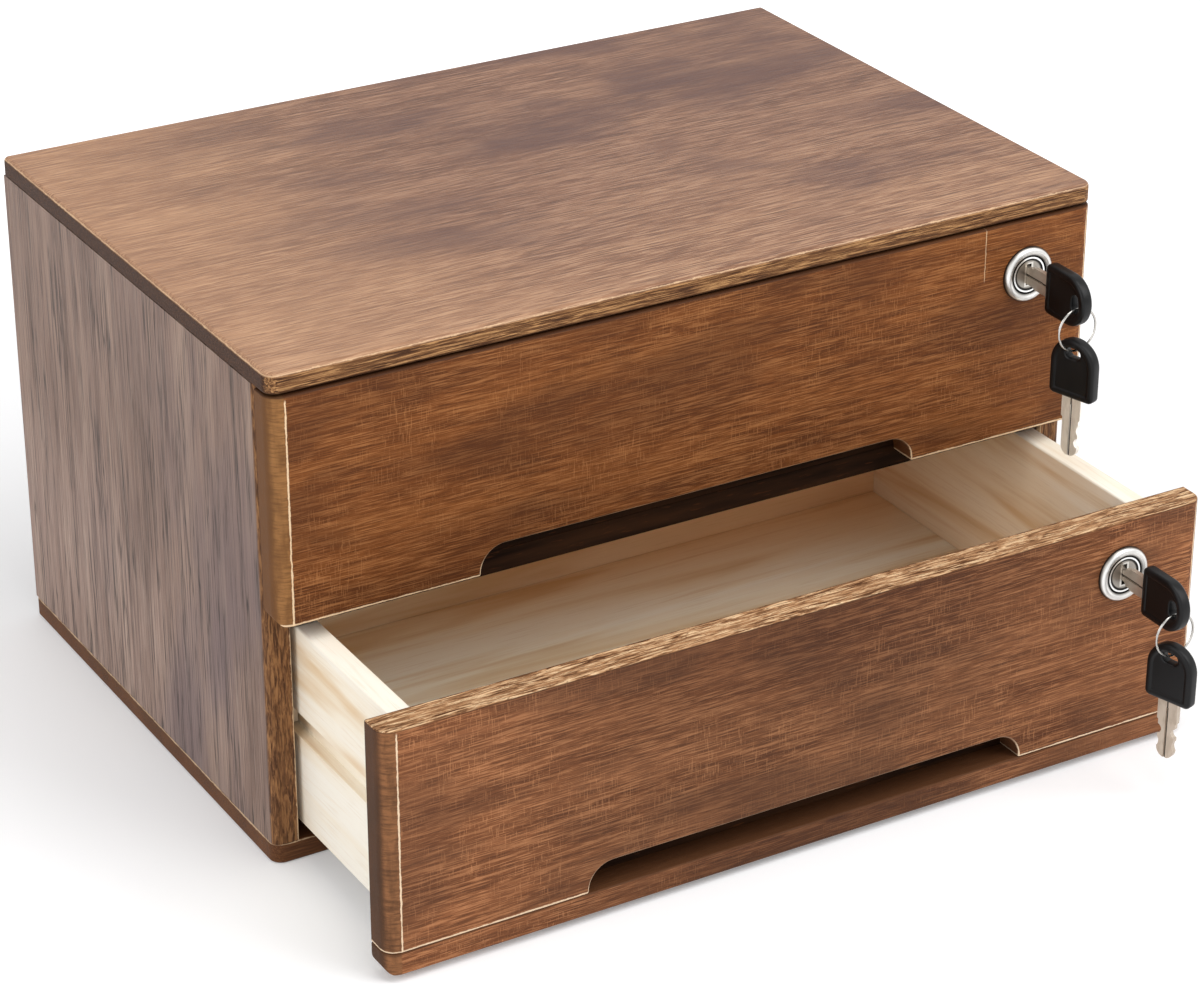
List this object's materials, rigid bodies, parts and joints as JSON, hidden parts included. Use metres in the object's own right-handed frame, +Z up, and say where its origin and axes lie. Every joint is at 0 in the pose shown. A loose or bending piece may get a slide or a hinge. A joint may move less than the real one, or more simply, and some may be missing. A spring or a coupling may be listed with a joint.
{
  "type": "desktop drawer organizer",
  "caption": "Desktop cabinet of dark torched wood with stacked drawers, finger cut-outs, and a cam lock with a key and a spare key on a ring in each drawer.",
  "frame": {"origin": "middle of the base board's underside", "axes": "+X to the right, +Y to the back, +Z up; the drawers pull out along -Y"},
  "size_m": [0.35, 0.3581, 0.2025],
  "materials": {
    "torched_wood": "torched, brushed and satin varnished, worn light along the edges",
    "brushed_wood": "torched and brushed, satin, worn light along the edges",
    "stained_wood": "dark stain",
    "pale_wood": "planed, unfinished",
    "lock_metal": "satin nickel plated",
    "key_metal": "nickel plated brass, drawn",
    "key_plastic": "moulded, fine satin",
    "ring_wire": "bright drawn wire",
    "screw_steel": "zinc plated"
  },
  "bodies": {
    "cabinet": {"top_board": "torched_wood", "base_board": "torched_wood", "left_side_panel": "torched_wood", "right_side_panel": "torched_wood", "back_panel": "torched_wood", "back_panel_nails": "screw_steel", "front_rail": "stained_wood", "rail_dowels": "pale_wood", "top_dowels": "pale_wood", "base_screws": "screw_steel", "upper_left_runner": "pale_wood", "upper_right_runner": "pale_wood", "lower_left_runner": "pale_wood", "lower_right_runner": "pale_wood", "runner_screws": "screw_steel"},
    "upper_drawer": {"upper_drawer_front": "brushed_wood", "upper_drawer_inner_front": "stained_wood", "upper_front_screws": "screw_steel", "upper_drawer_left_side": "pale_wood", "upper_drawer_right_side": "pale_wood", "upper_drawer_back": "pale_wood", "upper_drawer_bottom": "pale_wood", "upper_lock_barrel": "lock_metal", "upper_lock_clip": "screw_steel"},
    "upper_lock_turn": {"upper_lock_plug": "lock_metal", "upper_lock_cam": "screw_steel", "upper_lock_cam_screw": "screw_steel"},
    "upper_key_in_lock": {"upper_key_blade": "key_metal", "upper_key_head": "key_plastic"},
    "upper_ring_on_key": {"upper_key_ring": "ring_wire"},
    "upper_spare_key": {"upper_spare_key_blade": "key_metal", "upper_spare_key_head": "key_plastic"},
    "lower_drawer": {"lower_drawer_front": "brushed_wood", "lower_drawer_inner_front": "stained_wood", "lower_front_screws": "screw_steel", "lower_drawer_left_side": "pale_wood", "lower_drawer_right_side": "pale_wood", "lower_drawer_back": "pale_wood", "lower_drawer_bottom": "pale_wood", "lower_lock_barrel": "lock_metal", "lower_lock_clip": "screw_steel", "lower_front_base_strip": "brushed_wood", "base_strip_screws": "screw_steel"},
    "lower_lock_turn": {"lower_lock_plug": "lock_metal", "lower_lock_cam": "screw_steel", "lower_lock_cam_screw": "screw_steel"},
    "lower_key_in_lock": {"lower_key_blade": "key_metal", "lower_key_head": "key_plastic"},
    "lower_ring_on_key": {"lower_key_ring": "ring_wire"},
    "lower_spare_key": {"lower_spare_key_blade": "key_metal", "lower_spare_key_head": "key_plastic"}
  },
  "joints": [
    {"name": "upper_drawer_slide", "type": "slide", "parent": "cabinet", "child": "upper_drawer", "axis": [0, -1, 0], "range_m": [0, 0.14]},
    {"name": "upper_lock_turn", "type": "hinge", "parent": "upper_drawer", "child": "upper_lock_turn", "pos_m": [0.1445, -0.125, 0.1717], "axis": [0, 1, 0], "range_deg": [0, 90]},
    {"name": "upper_key_pull", "type": "slide", "parent": "upper_lock_turn", "child": "upper_key_in_lock", "axis": [0, -1, 0], "range_m": [0, 0.03]},
    {"name": "upper_ring_swing", "type": "hinge", "parent": "upper_key_in_lock", "child": "upper_ring_on_key", "pos_m": [0.1445, -0.1579, 0.16933], "axis": [1, 0, 0], "range_deg": [-40, 15]},
    {"name": "upper_spare_key_swing", "type": "hinge", "parent": "upper_ring_on_key", "child": "upper_spare_key", "pos_m": [0.1445, -0.1579, 0.15233], "axis": [1, 0, 0], "range_deg": [-20, 20]},
    {"name": "lower_drawer_slide", "type": "slide", "parent": "cabinet", "child": "lower_drawer", "axis": [0, -1, 0], "range_m": [-0.0775, 0.0625]},
    {"name": "lower_lock_turn", "type": "hinge", "parent": "lower_drawer", "child": "lower_lock_turn", "pos_m": [0.138, -0.2025, 0.0793], "axis": [0, 1, 0], "range_deg": [0, 90]},
    {"name": "lower_key_pull", "type": "slide", "parent": "lower_lock_turn", "child": "lower_key_in_lock", "axis": [0, -1, 0], "range_m": [0, 0.03]},
    {"name": "lower_ring_swing", "type": "hinge", "parent": "lower_key_in_lock", "child": "lower_ring_on_key", "pos_m": [0.138, -0.2354, 0.07693], "axis": [1, 0, 0], "range_deg": [-40, 15]},
    {"name": "lower_spare_key_swing", "type": "hinge", "parent": "lower_ring_on_key", "child": "lower_spare_key", "pos_m": [0.138, -0.2354, 0.05993], "axis": [1, 0, 0], "range_deg": [-20, 20]}
  ]
}
